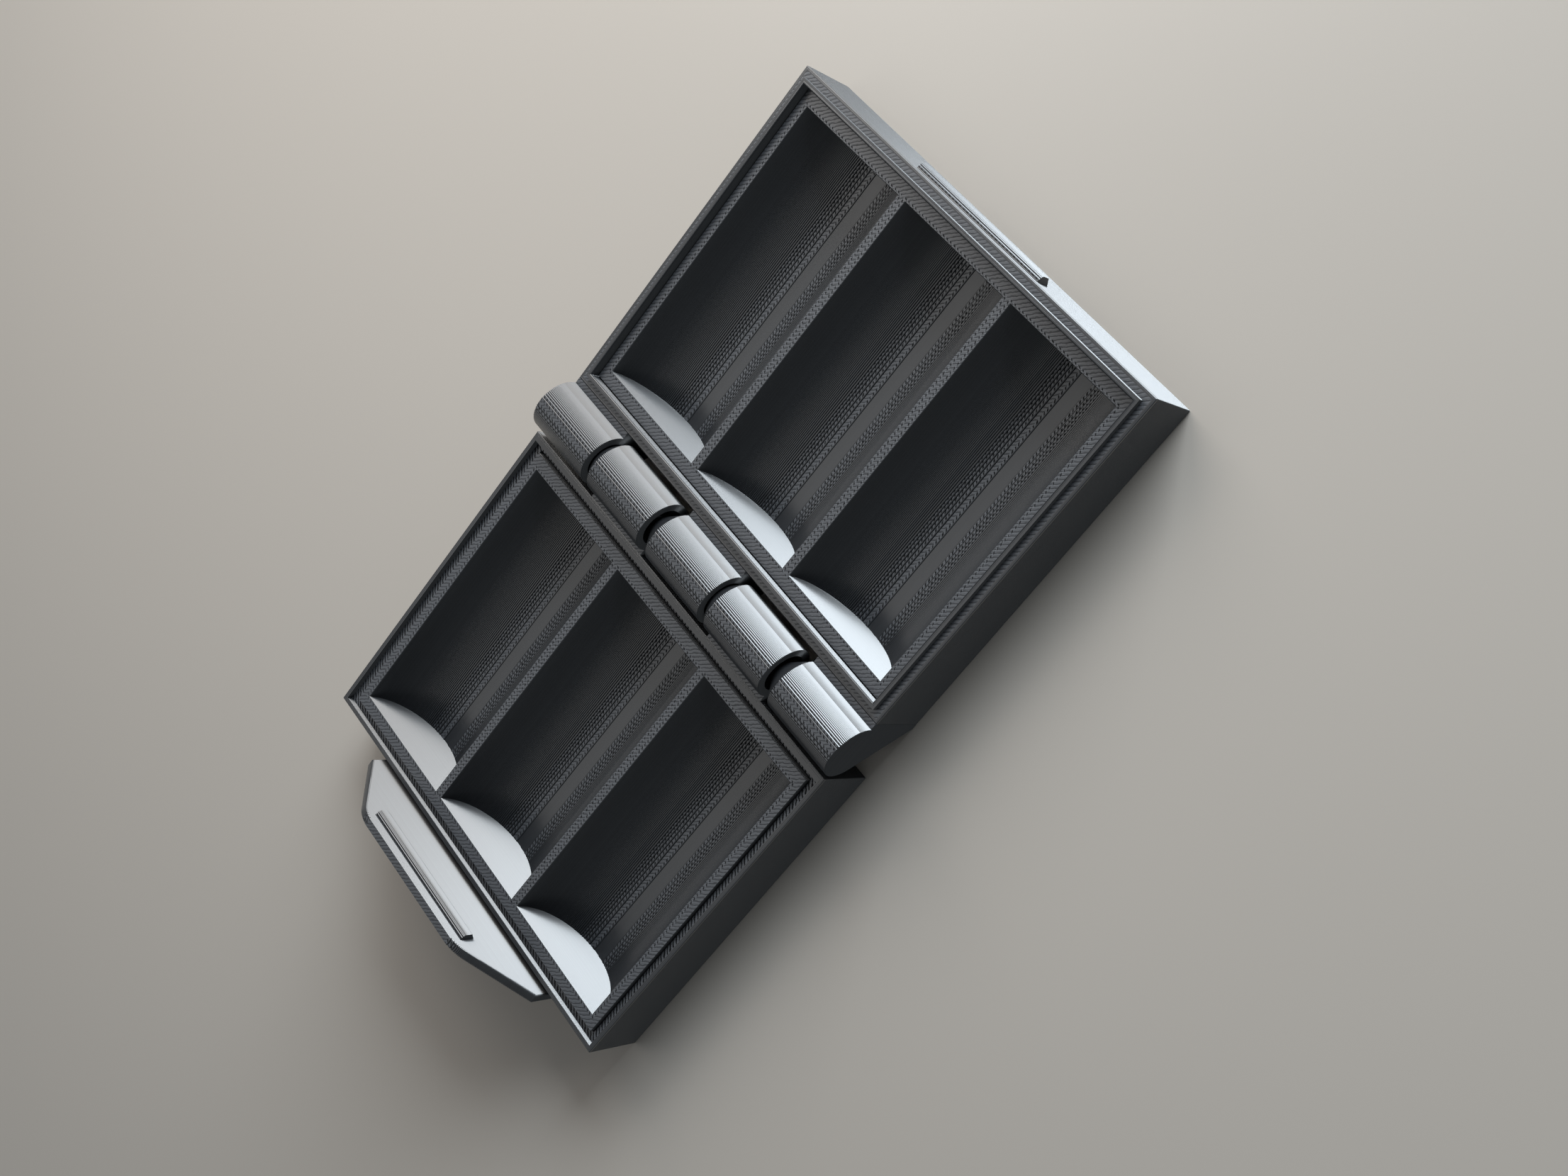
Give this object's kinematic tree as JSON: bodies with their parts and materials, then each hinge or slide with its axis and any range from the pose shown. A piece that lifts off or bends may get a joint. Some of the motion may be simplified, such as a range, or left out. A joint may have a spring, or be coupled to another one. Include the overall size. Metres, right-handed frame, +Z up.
{
  "type": "hinged display case",
  "caption": "Flat folding display case with round-bottomed troughs for small figures in both halves, a cone hinge and a snap tab.",
  "frame": {"origin": "middle of the open case's footprint, at the level of the table it lies on", "axes": "+X along the hinge, +Y from the hinge towards the base half's front, +Z up"},
  "size_m": [0.1166, 0.2046, 0.0324],
  "materials": {
    "charcoal_plastic": "satin printed layers"
  },
  "bodies": {
    "base": {"base_shell": "charcoal_plastic", "base_tray": "charcoal_plastic"},
    "lid": {"lid_shell": "charcoal_plastic", "lid_tray": "charcoal_plastic"},
    "latch": {"latch_tab": "charcoal_plastic"}
  },
  "joints": [
    {"name": "lid_hinge", "type": "hinge", "parent": "base", "child": "lid", "pos_m": [0, 0.00155, 0.0173], "axis": [-1, 0, 0], "range_deg": [0, 180]},
    {"name": "latch_flex", "type": "hinge", "parent": "lid", "child": "latch", "pos_m": [-0.0003, -0.1023, 0.003], "axis": [1, 0, 0], "range_deg": [0, 6], "stiffness_Nm_per_rad": 12}
  ]
}
